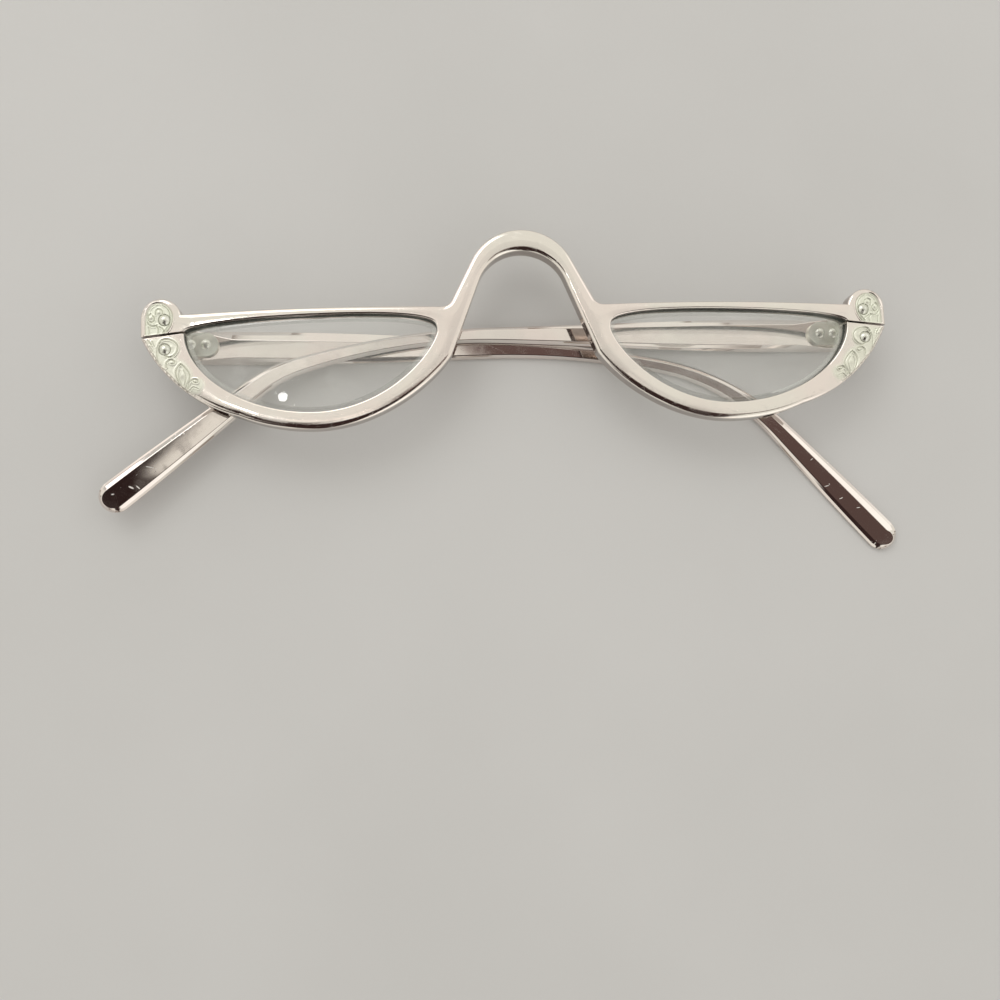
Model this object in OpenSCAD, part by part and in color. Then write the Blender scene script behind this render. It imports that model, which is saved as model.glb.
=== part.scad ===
// Half-moon reading glasses, folded and lying on a table with the front facing up.
// X runs along the front, Y up the face and Z up from the table. Sizes are in mm and degrees.
// Left and right are as seen from the front, so left is on the -X side.
// The origin is on the table in the middle of the front, on the outer face of the left temple.

/* [Lens openings] */
// Width of each lens opening
lens_w = 43.4; // [38:0.2:50]
// Depth of an opening below its widest level
lens_drop = 13.8; // [11:0.2:17]
// Height of an opening above its widest level, at the top of the brow curve
lens_rise = 3.4; // [3:0.1:5]
// Radius of the brow curve over an opening
brow_r = 294; // [200:2:500]
// Distance from the middle of an opening in to the top of its brow curve
brow_in = 9; // [5:0.5:13]
// Distance between the two openings at the nose
bridge_gap = 30.8; // [28:0.2:36]

/* [Front] */
// Front-to-back depth of the front
front_t = 3.1; // [2.8:0.1:4]
// Width of the rim below and beside an opening
rim_w = 3.05; // [2.4:0.05:4]
// Extra width of the rim at the nose
nose_w = 1.1; // [0.6:0.1:1.6]
// Height of the brow bar where it is thinnest
bar_h = 1.25; // [1:0.05:2]
// Radius of the top edge of the brow bar
bar_r = 515; // [400:5:900]
// Width of an end piece, from the opening out to the end of the front
end_w = 7.2; // [6.8:0.1:9]
// Height of the split in an end piece above the origin, at its outer end
split_y = 1; // [0.5:0.1:2]
// Height of the widest level of the openings above the split
widest_up = 0.4; // [0:0.05:0.8]
// Gap of the split that lets the lens in
split_gap = 0.34; // [0.2:0.02:0.5]
// Slope of the split, rising towards the lens
split_slope = 6.9; // [3:0.1:10]
// Radius of the round knob above the split
knob_r = 3.4; // [3.2:0.1:4.2]
// Height of the middle of the knob above the split
knob_up = 3.45; // [3:0.05:4.5]
// Radius of the curve under the jaw of an end piece
jaw_r = 25; // [20:0.5:40]

/* [Bridge] */
// Height of the top of the bridge above the widest level of the openings
bridge_rise = 18.25; // [16:0.25:21]
// Height of the bridge band at its top
arch_w = 3.9; // [3:0.1:5]
// Radius of the outer edge over the top of the bridge
arch_out_r = 10; // [9:0.1:11]
// Radius of the inner edge over the top of the bridge
arch_in_r = 8.2; // [7.2:0.1:9]
// Lean of the outer edges of the bridge
flank_out = 27.3; // [22:0.1:32]
// Lean of the inner edges of the bridge
flank_in = 21; // [18:0.1:25]
// Radius of the inside corner between the bridge and a brow bar
corner_r = 2; // [1:0.1:3]

/* [Lenses] */
// Thickness of the edge that sits in the groove of the rim
edge_t = 0.9; // [0.7:0.05:1.1]
// Depth of the groove
groove_d = 0.5; // [0.3:0.05:0.6]
// Height of the middle of the groove above the back of the front
groove_up = 1.5; // [1.3:0.05:1.7]
// Thickness at the middle of the lens
lens_t = 2; // [1.6:0.1:2.4]
// Radius of the front surface
lens_front_r = 210; // [150:5:400]
// Radius of the back surface
lens_back_r = 500; // [450:10:900]
// Share of the thickness that lies in front of the groove
crown_share = 0.65; // [0.5:0.05:0.7]
// Clearance between the lens and the rim
lens_clear = 0.05; // [0.03:0.01:0.1]

/* [Hinges] */
// Height of the middle of a hinge above the split
hinge_up = 0.5; // [0.3:0.05:0.8]
// Height of the three barrels together
hinge_h = 3.8; // [3.2:0.1:4]
// Outer radius of a barrel
barrel_r = 1.25; // [1.1:0.05:1.3]
// Radius of the shank of a hinge screw
screw_r = 0.6; // [0.5:0.05:0.7]
// Radius of the head of a hinge screw
screw_head_r = 1.05; // [0.9:0.05:1.2]
// Height of the head of a hinge screw
screw_head_h = 0.6; // [0.5:0.05:0.8]
// Gap between barrels and around the shank
hinge_clear = 0.05; // [0.03:0.01:0.08]
// Distance from the hinge axis to the back of the front
axis_back = 2.4; // [2.3:0.05:3]
// Distance from the hinge axis to the inner face of a temple
axis_in = 2.2; // [2.1:0.05:2.6]
// Gap between the butt of an open temple and the back of the front
butt_clear = 0.05; // [0.02:0.01:0.1]
// Thickness of a front hinge leaf
front_leaf_t = 0.9; // [0.7:0.05:1]
// Thickness of a temple hinge leaf
temple_leaf_t = 0.8; // [0.6:0.05:0.85]
// Radius of the round end of a temple hinge leaf
leaf_r = 2.15; // [1.9:0.05:2.4]
// Gap between a front hinge leaf and the inner face of an open temple
open_clear = 0.4; // [0.2:0.05:0.6]
// Margin of a front hinge leaf above and below its rivets
leaf_margin = 1.1; // [0.9:0.05:1.2]
// Width of the slot in the head of a hinge screw
slot_w = 0.3; // [0.2:0.02:0.4]
// Depth of the slot in the head of a hinge screw
slot_d = 0.24; // [0.15:0.01:0.3]

/* [Rivets] */
// Distance of the front rivets out from the lens opening
rivet_out = 3.2; // [3:0.05:3.6]
// Height of an upper front rivet above the split
rivet_up = 3.05; // [2.9:0.05:3.4]
// Depth of a lower front rivet below the split
rivet_down = 2.1; // [2:0.05:2.6]
// Radius of a rivet shank
rivet_r = 0.55; // [0.45:0.05:0.6]
// Radius of a rivet head
rivet_head_r = 0.9; // [0.75:0.05:1]
// Height of a rivet head
rivet_head_h = 0.4; // [0.3:0.05:0.5]
// Gap between the head of the near temple rivet and the middle barrel
temple_rivet_gap = 0.25; // [0.1:0.05:0.5]
// Distance between the two temple rivets
temple_rivet_pitch = 2.6; // [2.3:0.1:2.8]
// Depth of a temple rivet in the temple
temple_rivet_d = 1.5; // [1.1:0.05:1.8]

/* [Temples] */
// Length of a temple from its butt to its tip
temple_l = 146.4; // [136:0.2:160]
// Thickness of a temple at the hinge
temple_t = 2.2; // [2:0.05:2.6]
// Thickness of a temple beyond its hinge end
arm_t = 1.5; // [1.2:0.05:1.8]
// Height of a temple at the hinge
butt_h = 6.1; // [5.4:0.1:7]
// Height of a temple at its waist
waist_h = 2.5; // [2.2:0.1:4]
// Height of a temple at its tip
tip_h = 5.8; // [4.2:0.1:6]
// Distance from the hinge axis to where a temple starts to narrow
taper_from = 14.4; // [12:0.2:20]
// Distance from the hinge axis to the waist
waist_at = 79; // [70:1:84]
// Length of the waist
waist_l = 9; // [4:0.5:14]
// Distance from the hinge axis to where a temple reaches its least thickness
thin_at = 36; // [24:1:50]
// Distance from the hinge axis to where the bevels start
bevel_from = 7.8; // [7.6:0.1:10]
// Length over which the bevels grow to their full width
bevel_run = 1.2; // [0.8:0.1:2]
// Width of each bevel as a share of the height of the temple
bevel_share = 0.23; // [0.15:0.01:0.3]
// Thickness of the flat edge under the bevels
edge_h = 0.6; // [0.4:0.05:0.8]
// Width of the broken edges around the hinge end and the outer face
edge_break = 0.2; // [0.1:0.05:0.3]
// Droop of the left temple
left_droop_angle = 1.3; // [0:0.1:4]
// Droop of the right temple
right_droop_angle = -0.7; // [-3:0.1:4]
// Distance from the hinge axis to the ear bend of the left temple
left_bend_at = 56; // [50:1:70]
// Length of the gentle first part of the ear bend of the left temple
left_gentle_l = 32; // [20:1:40]
// Angle of the gentle part of the left temple
left_gentle_angle = 11; // [5:0.5:20]
// Length of the tight second part of the ear bend of the left temple
left_tight_l = 26; // [8:1:30]
// Angle of the tight part of the left temple
left_tight_angle = 35.5; // [15:0.5:45]
// Distance from the hinge axis to the ear bend of the right temple
right_bend_at = 65; // [50:1:70]
// Length of the gentle first part of the ear bend of the right temple
right_gentle_l = 37; // [20:1:40]
// Angle of the gentle part of the right temple
right_gentle_angle = 17.5; // [5:0.5:20]
// Length of the tight second part of the ear bend of the right temple
right_tight_l = 9; // [8:1:30]
// Angle of the tight part of the right temple
right_tight_angle = 21; // [15:0.5:45]
// Gap between the two temples where they cross
cross_gap = 0.25; // [0.15:0.05:0.5]
// Distance from the middle of the front to the last place where the temples lie over each other
cross_x = 2; // [0:0.5:12]

/* [Hidden] */

$fn = 48;
// Left and right as the sign of X
LEFT = -1;
RIGHT = 1;
// Angle between two points of a round stretch
turn = 5;
// Overlap of a cut with the space around it
over = 1;

// Heights above the table
axis_z = temple_t + axis_in;
back_z = axis_z + axis_back;
face_z = back_z + front_t;

// Places on the front
lens_x = (bridge_gap + lens_w)/2;
lens_y = split_y + widest_up;
front_x = bridge_gap/2 + lens_w + end_w;
brow_y = lens_y + lens_rise;
arch_y = lens_y + bridge_rise;
hinge_x = front_x - temple_t - axis_in;
hinge_y = split_y + hinge_up;
rivet_x = bridge_gap/2 + lens_w + rivet_out;

// Exponents of the corners of an opening: above, at the nose below and at the temple below
top_power = 4;
nose_power = 1.35;
side_power = 1.8;
// Places around an opening where the rim runs into the bridge and into the jaw
nose_turn = 197;
jaw_turn = 302;

// Angle by which the right temple is folded past the left one, so that it lies over it
fold_over = asin((arm_t + cross_gap)/(hinge_x - cross_x));

function mix(a, b, k) = a + (b - a)*k;
function smooth(x, from, to) = let (k = max(0, min(1, (x - from)/(to - from)))) k*k*(3 - 2*k);
function flip(points) = [for (i = [len(points) - 1:-1:0]) [-points[i][0], points[i][1]]];
function arc(centre, r, from, to) =
    let (n = max(1, ceil(abs(to - from)/turn)))
    [for (i = [0:n]) let (a = mix(from, to, i/n)) centre + r*[cos(a), sin(a)]];

// Curve over an opening and top edge of the bar, as heights at a distance from the middle
function brow(x) = brow_y - pow(x - lens_x + brow_in, 2)/(2*brow_r);
function bar_top(x) = brow_y + bar_h - pow(x - lens_x + brow_in, 2)/(2*bar_r);

// Edge of an opening: 0 is its temple end, 90 its top, 180 its nose end and 270 its bottom
function opening(t) =
    let (c = cos(t), s = sin(t), above = s >= 0,
         x = lens_x + lens_w/2*sign(c)*pow(abs(c), above ? 2/top_power : 1),
         k = pow(abs(s), 2/(above ? top_power : c < 0 ? nose_power : side_power)))
    [x, above ? mix(lens_y, brow(x), k) : lens_y - lens_drop*k];
function outward(t) =
    let (d = opening(t + 0.5) - opening(t - 0.5)) [d[1], -d[0]]/norm(d);
function around_opening(gap) = [for (t = [0:turn:355]) opening(t) + gap*outward(t)];
function rim_edge(t) = opening(t) + (rim_w + nose_w*pow(max(0, -cos(t)), 4))*outward(t);

// Inside corner between the bridge and the bar
function corner_points() =
    let (foot_y = bar_top(bridge_gap/2),
         foot_x = arch_out_r*cos(flank_out)
                  + (arch_y - arch_out_r*(1 - sin(flank_out)) - foot_y)*tan(flank_out),
         side = corner_r/tan((90 + flank_out)/2))
    arc([foot_x + side, foot_y + corner_r], corner_r, 180 + flank_out, 270);

// Knob from its notch at the bar to the end of the front
function knob_points() =
    let (centre = [front_x - knob_r, split_y + knob_up],
         notch = asin((bar_top(front_x - 2*knob_r) - centre[1])/knob_r))
    arc(centre, knob_r, 180 - notch, 0);

// Underside of the jaw from the split to the rim
function jaw_points() =
    let (a = [front_x, split_y], b = rim_edge(jaw_turn), chord = b - a,
         way = [chord[1], -chord[0]]/norm(chord),
         centre = (a + b)/2 + sqrt(jaw_r*jaw_r - chord*chord/4)*way,
         u = a - centre, v = b - centre)
    arc(centre, jaw_r, atan2(u[1], u[0]), atan2(v[1], v[0]));

// Outline of the right half of the front, from the top of the bridge round to its underside
half_front = concat(
    arc([0, arch_y - arch_out_r], arch_out_r, 90, flank_out),
    corner_points(),
    [for (k = [0.1:0.1:0.9]) let (x = mix(bridge_gap/2, front_x - 2*knob_r, k)) [x, bar_top(x)]],
    knob_points(),
    jaw_points(),
    [for (t = [jaw_turn - turn:-turn:nose_turn]) rim_edge(t)],
    arc([0, arch_y - arch_w - arch_in_r], arch_in_r, flank_in, 90));

module split_slot() {
    translate([front_x + over, split_y - over*tan(split_slope)])
        rotate(-split_slope)
            translate([-end_w - 2*over, -split_gap/2])
                square([end_w + 2*over, split_gap]);
}

module both_sides() {
    children();
    mirror([1, 0, 0]) children();
}

module on_side(side) {
    mirror([side < 0 ? 1 : 0, 0, 0]) children();
}

module front_frame() {
    color("#d8c8be")
        difference() {
            translate([0, 0, back_z])
                linear_extrude(front_t)
                    difference() {
                        polygon(concat(half_front, flip(half_front)));
                        both_sides() polygon(around_opening(0));
                        both_sides() split_slot();
                    }
            both_sides() {
                translate([0, 0, back_z + groove_up - edge_t/2 - lens_clear])
                    linear_extrude(edge_t + 2*lens_clear)
                        polygon(around_opening(groove_d));
                for (y = [rivet_up, -rivet_down])
                    translate([rivet_x, split_y + y, back_z - over])
                        cylinder(r = rivet_r, h = front_t + 2*over);
            }
        }
}

// Round lens blank with its middle on the Z axis, before it is cut to the shape of the opening
module lens_blank(crown_z) {
    rotate_extrude($fn = 96)
        intersection() {
            difference() {
                translate([0, crown_z - lens_front_r])
                    circle(r = lens_front_r, $fn = 720);
                translate([0, crown_z - lens_t - lens_back_r])
                    circle(r = lens_back_r, $fn = 1440);
            }
            translate([0, back_z - over])
                square([lens_w, front_t + over]);
        }
}

module lens(side) {
    crown_z = back_z + groove_up + crown_share*lens_t;
    on_side(side)
        color("#dfe6e2", 0.4) {
            intersection() {
                translate([0, 0, back_z - over])
                    linear_extrude(front_t + 2*over)
                        polygon(around_opening(-lens_clear));
                translate([lens_x, lens_y - lens_drop/2])
                    lens_blank(crown_z);
            }
            translate([0, 0, back_z + groove_up - edge_t/2])
                linear_extrude(edge_t)
                    polygon(around_opening(groove_d - lens_clear));
        }
}

// Domed rivet head on a shank that goes down from its seat
module rivet(shank_l) {
    dome_r = (rivet_head_r*rivet_head_r + rivet_head_h*rivet_head_h)/(2*rivet_head_h);
    translate([0, 0, -shank_l])
        cylinder(r = rivet_r, h = shank_l);
    intersection() {
        cylinder(r = rivet_head_r, h = rivet_head_h);
        translate([0, 0, rivet_head_h - dome_r])
            sphere(r = dome_r);
    }
}

module front_rivet(side, y) {
    on_side(side)
        color("#cfcfc0")
            translate([rivet_x, split_y + y, face_z])
                rivet(front_t + front_leaf_t);
}

// Barrel around the hinge axis, from one height on the axis to another
module barrel(r, from, to) {
    translate([hinge_x, hinge_y + from, axis_z])
        rotate([-90, 0, 0])
            cylinder(r = r, h = to - from);
}

// Ends of the middle barrel on the axis
barrel_end = hinge_h/6;
// Distances from the hinge axis to the end of a temple hinge leaf and to its two rivets
leaf_end = barrel_r + 2*hinge_clear;
near_rivet = leaf_end + temple_rivet_gap + rivet_head_r;
far_rivet = near_rivet + temple_rivet_pitch;

module front_hinge_leaf(side) {
    leaf_low = split_y - rivet_down - leaf_margin;
    leaf_high = split_y + rivet_up + leaf_margin;
    leaf_in = hinge_x - barrel_r;
    leaf_out = hinge_x + axis_in - open_clear;
    on_side(side)
        color("#cfcfc0")
            difference() {
                union() {
                    translate([leaf_in, leaf_low, back_z - front_leaf_t])
                        cube([leaf_out - leaf_in, leaf_high - leaf_low, front_leaf_t]);
                    for (end = [-1, 1]) {
                        from = end < 0 ? -hinge_h/2 : barrel_end + hinge_clear;
                        to = end < 0 ? -barrel_end - hinge_clear : hinge_h/2;
                        barrel(barrel_r, from, to);
                        translate([hinge_x - barrel_r, hinge_y + from, axis_z])
                            cube([2*barrel_r, to - from, axis_back - front_leaf_t/2]);
                    }
                }
                barrel(screw_r + hinge_clear, -hinge_h/2 - over, hinge_h/2 + over);
                for (y = [rivet_up, -rivet_down])
                    translate([rivet_x, split_y + y, back_z - front_leaf_t - over])
                        cylinder(r = rivet_r, h = front_leaf_t + 2*over);
            }
}

module hinge_screw(side) {
    on_side(side)
        color("#b9b6ab")
            difference() {
                union() {
                    barrel(screw_r, -hinge_h/2, hinge_h/2 + screw_head_h/2);
                    barrel(screw_head_r, hinge_h/2, hinge_h/2 + screw_head_h);
                }
                translate([hinge_x - screw_head_r - over, hinge_y + hinge_h/2 + screw_head_h - slot_d,
                           axis_z - slot_w/2])
                    cube([2*(screw_head_r + over), slot_d + over, slot_w]);
            }
}

// Moves a temple piece of the right side into its folded place
module folded(side) {
    on_side(side)
        translate([hinge_x, hinge_y, axis_z])
            rotate([0, side == RIGHT ? fold_over : 0, 0])
                translate([-hinge_x, -hinge_y, -axis_z])
                    children();
}

module temple_hinge_leaf(side) {
    folded(side)
        color("#cfcfc0")
            difference() {
                union() {
                    translate([hinge_x - far_rivet, hinge_y, temple_t])
                        cylinder(r = leaf_r, h = temple_leaf_t);
                    translate([hinge_x - far_rivet, hinge_y - leaf_r, temple_t])
                        cube([far_rivet - leaf_end, 2*leaf_r, temple_leaf_t]);
                    translate([hinge_x - far_rivet, hinge_y - barrel_end, temple_t])
                        cube([far_rivet, 2*barrel_end, temple_leaf_t]);
                    barrel(barrel_r, -barrel_end, barrel_end);
                    translate([hinge_x - leaf_end, hinge_y - barrel_end, temple_t])
                        cube([leaf_end, 2*barrel_end, axis_in]);
                }
                barrel(screw_r + hinge_clear, -hinge_h, hinge_h);
                for (x = [near_rivet, far_rivet])
                    translate([hinge_x - x, hinge_y, temple_t - over])
                        cylinder(r = rivet_r, h = temple_leaf_t + 2*over);
            }
}

module temple_rivet(side, x) {
    folded(side)
        color("#cfcfc0")
            translate([hinge_x - x, hinge_y, temple_t + temple_leaf_t])
                rivet(temple_leaf_t + temple_rivet_d);
}

// Runs of the middle line of a temple from the hinge axis on, each as [length, angle it turns]
function runs(side) = side == LEFT
    ? [[left_bend_at, 0], [left_gentle_l, left_gentle_angle], [left_tight_l, left_tight_angle],
       [temple_l, 0]]
    : [[right_bend_at, 0], [right_gentle_l, right_gentle_angle], [right_tight_l, right_tight_angle],
       [temple_l, 0]];
function droop(side) = side == LEFT ? left_droop_angle : right_droop_angle;

// Step along a run that starts with a slope of a and turns by b, as [in from the axis, up]
function step(a, b, l) =
    abs(b) < 0.01 ? l*[cos(a), -sin(a)]
    : l/(b*PI/180)*[sin(a + b) - sin(a), cos(a + b) - cos(a)];
function middle(s, a, r, i = 0) =
    s <= r[i][0] ? step(a, r[i][1]*s/r[i][0], s)
    : step(a, r[i][1], r[i][0]) + middle(s - r[i][0], a + r[i][1], r, i + 1);
function slope(s, a, r, i = 0) =
    s <= r[i][0] ? a + r[i][1]*s/r[i][0]
    : slope(s - r[i][0], a + r[i][1], r, i + 1);

// Height, thickness and bevel of a temple at a distance along it
tip_s = temple_l - axis_back;
// Share of the height that is left at the very end of a tip
blunt = 0.14;
// Sections along a temple between its bevels and its round end
arm_ring_count = 32;
function plain_height(s) =
    mix(mix(butt_h, waist_h, smooth(s, taper_from, waist_at)),
        tip_h, smooth(s, waist_at + waist_l, tip_s));
function height(s) =
    let (r = plain_height(tip_s)/2, past = max(0, s - tip_s + r))
    plain_height(s)*sqrt(max(blunt*blunt, 1 - past*past/(r*r)));
function thickness(s) = mix(temple_t, arm_t, smooth(s, bevel_from, thin_at));
function bevel(s) =
    mix(edge_break, bevel_share*height(s), smooth(s, bevel_from, bevel_from + bevel_run));

// Cross-section of a temple as [across, up from the table], from its outer face round
function section(s) =
    let (w = height(s)/2, b = bevel(s), t = thickness(s), e = min(edge_break, w/3))
    [[e - w, 0], [w - e, 0], [w, e], [w, edge_h], [w - b, t], [b - w, t], [-w, edge_h], [-w, e]];

// Distances along a temple, closer together at its bevels and at its round end
stations = concat(
    [butt_clear - axis_back, bevel_from, bevel_from + bevel_run/2, bevel_from + bevel_run],
    [for (k = [1:arm_ring_count]) mix(bevel_from + bevel_run, tip_s - tip_h/2, k/arm_ring_count)],
    [for (a = [15:15:90]) tip_s - tip_h/2*(1 - sin(a))]);

module temple(side) {
    ring = 8;
    last = len(stations) - 1;
    points = [for (s = stations)
        let (m = middle(s, droop(side), runs(side)),
             a = s < 0 ? 0 : slope(s, droop(side), runs(side)))
        for (q = section(s))
            [hinge_x - m[0] - q[0]*sin(a), hinge_y + m[1] + q[0]*cos(a), q[1]]];
    sides = [for (i = [0:last - 1], j = [0:ring - 1])
        let (k = (j + 1)%ring, a = i*ring)
        each [[a + j, a + k, a + ring + k], [a + j, a + ring + k, a + ring + j]]];
    ends = [[for (j = [ring - 1:-1:0]) j], [for (j = [0:ring - 1]) last*ring + j]];
    folded(side)
        color("#d6c6bb")
            difference() {
                polyhedron(points, concat(sides, ends));
                for (x = [near_rivet, far_rivet])
                    translate([hinge_x - x, hinge_y, temple_t - temple_rivet_d])
                        cylinder(r = rivet_r, h = temple_rivet_d + over);
            }
}

front_frame();
lens(LEFT);  // left_lens
lens(RIGHT);  // right_lens
front_rivet(LEFT, rivet_up);  // left_upper_front_rivet
front_rivet(LEFT, -rivet_down);  // left_lower_front_rivet
front_rivet(RIGHT, rivet_up);  // right_upper_front_rivet
front_rivet(RIGHT, -rivet_down);  // right_lower_front_rivet
front_hinge_leaf(LEFT);  // left_front_hinge_leaf
front_hinge_leaf(RIGHT);  // right_front_hinge_leaf
hinge_screw(LEFT);  // left_hinge_screw
hinge_screw(RIGHT);  // right_hinge_screw
temple(LEFT);  // left_temple
temple(RIGHT);  // right_temple
temple_hinge_leaf(LEFT);  // left_temple_hinge_leaf
temple_hinge_leaf(RIGHT);  // right_temple_hinge_leaf
temple_rivet(LEFT, near_rivet);  // left_temple_rivet_near
temple_rivet(LEFT, far_rivet);  // left_temple_rivet_far
temple_rivet(RIGHT, near_rivet);  // right_temple_rivet_near
temple_rivet(RIGHT, far_rivet);  // right_temple_rivet_far
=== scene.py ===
# Half-moon reading glasses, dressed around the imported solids.
# Shapes are worked out in mm and degrees, in the solids' frame, and turned into metres as meshes.
import math

import bpy
import numpy as np
from mathutils import Matrix, Vector
from mathutils.geometry import delaunay_2d_cdt


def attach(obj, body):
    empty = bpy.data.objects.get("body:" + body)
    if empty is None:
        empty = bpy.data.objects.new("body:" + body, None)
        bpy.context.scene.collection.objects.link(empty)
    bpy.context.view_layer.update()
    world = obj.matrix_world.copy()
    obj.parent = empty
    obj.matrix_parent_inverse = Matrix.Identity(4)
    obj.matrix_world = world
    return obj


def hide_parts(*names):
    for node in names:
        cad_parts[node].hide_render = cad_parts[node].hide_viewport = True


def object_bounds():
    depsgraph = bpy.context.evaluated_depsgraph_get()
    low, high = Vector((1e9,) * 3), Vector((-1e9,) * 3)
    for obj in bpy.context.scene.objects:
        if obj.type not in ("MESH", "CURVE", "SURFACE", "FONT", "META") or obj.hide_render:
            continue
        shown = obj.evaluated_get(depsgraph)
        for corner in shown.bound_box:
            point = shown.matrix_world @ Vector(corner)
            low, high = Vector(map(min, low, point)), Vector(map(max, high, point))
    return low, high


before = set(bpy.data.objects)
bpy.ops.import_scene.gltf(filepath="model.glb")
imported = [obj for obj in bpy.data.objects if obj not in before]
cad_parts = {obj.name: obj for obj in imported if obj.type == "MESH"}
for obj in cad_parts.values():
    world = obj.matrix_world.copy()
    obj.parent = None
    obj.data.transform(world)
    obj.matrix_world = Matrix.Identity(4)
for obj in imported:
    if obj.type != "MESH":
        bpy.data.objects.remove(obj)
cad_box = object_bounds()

MM = 0.001
LEFT, RIGHT = -1, 1

# Sizes of the solids
LENS_W, LENS_DROP, LENS_RISE = 43.4, 13.8, 3.4
BROW_R, BROW_IN, BRIDGE_GAP = 294, 9, 30.8
FRONT_T, RIM_W, NOSE_W, BAR_H, BAR_R = 3.1, 3.05, 1.1, 1.25, 515
END_W, SPLIT_Y, WIDEST_UP, SPLIT_GAP, SPLIT_SLOPE = 7.2, 1, 0.4, 0.34, 6.9
KNOB_R, KNOB_UP, JAW_R = 3.4, 3.45, 25
BRIDGE_RISE, ARCH_W, ARCH_OUT_R, ARCH_IN_R = 18.25, 3.9, 10, 8.2
FLANK_OUT, FLANK_IN, CORNER_R = 27.3, 21, 2
TOP_POWER, NOSE_POWER, SIDE_POWER = 4, 1.35, 1.8
NOSE_TURN, JAW_TURN = 197, 302
EDGE_T, GROOVE_D, GROOVE_UP, LENS_CLEAR = 0.9, 0.5, 1.5, 0.05
LENS_T, LENS_FRONT_R, LENS_BACK_R, CROWN_SHARE = 2, 210, 500, 0.65
AXIS_BACK, AXIS_IN, HINGE_UP = 2.4, 2.2, 0.5
RIVET_OUT, RIVET_UP, RIVET_DOWN, RIVET_HEAD_R = 3.2, 3.05, 2.1, 0.9
TEMPLE_L, TEMPLE_T, ARM_T = 146.4, 2.2, 1.5
BUTT_H, WAIST_H, TIP_H, BUTT_CLEAR = 6.1, 2.5, 5.8, 0.05
TAPER_FROM, WAIST_AT, WAIST_L, THIN_AT = 14.4, 79, 9, 36
BEVEL_FROM, EDGE_H, EDGE_BREAK = 7.8, 0.6, 0.2
DROOP = {LEFT: 1.3, RIGHT: -0.7}
RUNS = {LEFT: [(56, 0), (32, 11), (26, 35.5), (TEMPLE_L, 0)],
        RIGHT: [(65, 0), (37, 17.5), (9, 21), (TEMPLE_L, 0)]}
CROSS_GAP, CROSS_X = 0.25, 2

# Places that follow from them
AXIS_Z = TEMPLE_T + AXIS_IN
BACK_Z = AXIS_Z + AXIS_BACK
FACE_Z = BACK_Z + FRONT_T
LENS_X = (BRIDGE_GAP + LENS_W) / 2
LENS_Y = SPLIT_Y + WIDEST_UP
FRONT_X = BRIDGE_GAP / 2 + LENS_W + END_W
BROW_Y = LENS_Y + LENS_RISE
ARCH_Y = LENS_Y + BRIDGE_RISE
HINGE_X = FRONT_X - TEMPLE_T - AXIS_IN
HINGE_Y = SPLIT_Y + HINGE_UP
RIVET_X = BRIDGE_GAP / 2 + LENS_W + RIVET_OUT
RIVETS = [(RIVET_X, SPLIT_Y + RIVET_UP), (RIVET_X, SPLIT_Y - RIVET_DOWN)]
TIP_S = TEMPLE_L - AXIS_BACK
FOLD_OVER = math.asin((ARM_T + CROSS_GAP) / (HINGE_X - CROSS_X))

# Finer shape of the front, within its flat solid: roundings as (how far in, how far down), the
# crown across a rim and the brim round an end piece, and where the one turns into the other
ROUND = {"outer": (0.85, 0.4), "inner": (0.28, 0.16), "slot": (0.07, 0.07)}
END_ROUND = (0.55, 0.3)
CROWN, CROWN_W, CROWN_POWER, CROWN_BLEND = 0.11, 2.1, 1.3, 0.42
BRIM, BRIM_W = 0.08, 0.95
END_FROM, END_TO = 57.0, 60.5
FACE_IN, BACK_BREAK = 0.02, 0.12
# The walls get painted shade from this far below the face, and the back gets much less of it
WALL_FROM, BACK_SHADE = 0.05, 0.1
# Gaps between points along the outline, coarse and fine, and within the carving, whose grid starts
# at FINE_X, lies between two heights and leaves a strip beside the roundings
FINE_X = 56.0
COARSE, FINE, CARVED = 0.21, 0.12, 0.078
CARVED_LOW, CARVED_HIGH, CARVED_FREE = -13, 9, 0.04
# Rows of points beside the outline: the first, how far apart, up to how far in, their least gaps
FIRST_ROW, ROW_GAP, ROWS_TO, CLOSE_GAP, LOOSE_GAP = 0.012, 0.15, 2.8, 0.01, 0.12
# Strip beside the seam of the two halves without points, and the height that parts the seam's ends
SEAM_FREE, SEAM_PARTS = 0.08, 16
# Corners of the back's grid, the gap of its points, and the strip beside the outline without any
BACK_FROM, BACK_TO, BACK_GRID, BACK_FREE = (0.6, -16), (FRONT_X, 20), 1.3, 0.35
# Step for measuring slopes, what counts as no distance, points worked out at once, and the least
# turn between two faces that stays sharp
NUDGE, HAIR, AT_ONCE, SHARP = 0.004, 1e-6, 1000, 38

# Finer shape of the lenses: width of their ground edge, gap between the points along it, and how
# far the edge's wall ends below the front and above the back
LENS_BEVEL, LENS_GAP, WALL_END, WALL_FOOT = 0.85, 0.5, 0.06, 0.2

# Finer shape of the temples, within their solids
# The main face leans down a little to its lower edge: from, fully at, by degrees. Its bevel keeps
# this height.
LEAN, BEVEL_LEAST = {LEFT: (22, 42, 5), RIGHT: (70, 105, 3.5)}, 0.08
# Where the bevels grow, their shares of a temple's height at the upper and lower edge, and where
# they bend, as shares of their width and height
BEVEL_GROWS = (1.5, 11)
BEVEL_SHARES = {LEFT: (0.31, 0.15), RIGHT: (0.21, 0.16)}
BEVEL_BEND = (0.42, 0.5)
# Width of the bevel round a tip, height of the upper edge from THIN_AT on, length left off a tip
TIP_RIM, EDGE_HIGH, TIP_IN = 0.5, 0.9, 0.03
# The butt's edge is broken over this length, by shares of its height and thickness
BUTT_BREAK, BUTT_IN, BUTT_THIN = 0.12, 0.05, 0.12
# Reach of the fillet of a bend, and its points as shares of it
FILLET, BENDS = 0.1, (0, 0.25, 0.5, 0.75, 1)
# Marks count from here across the right temple, and from 0 across the left one
RIGHT_MARKS = 40
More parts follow.
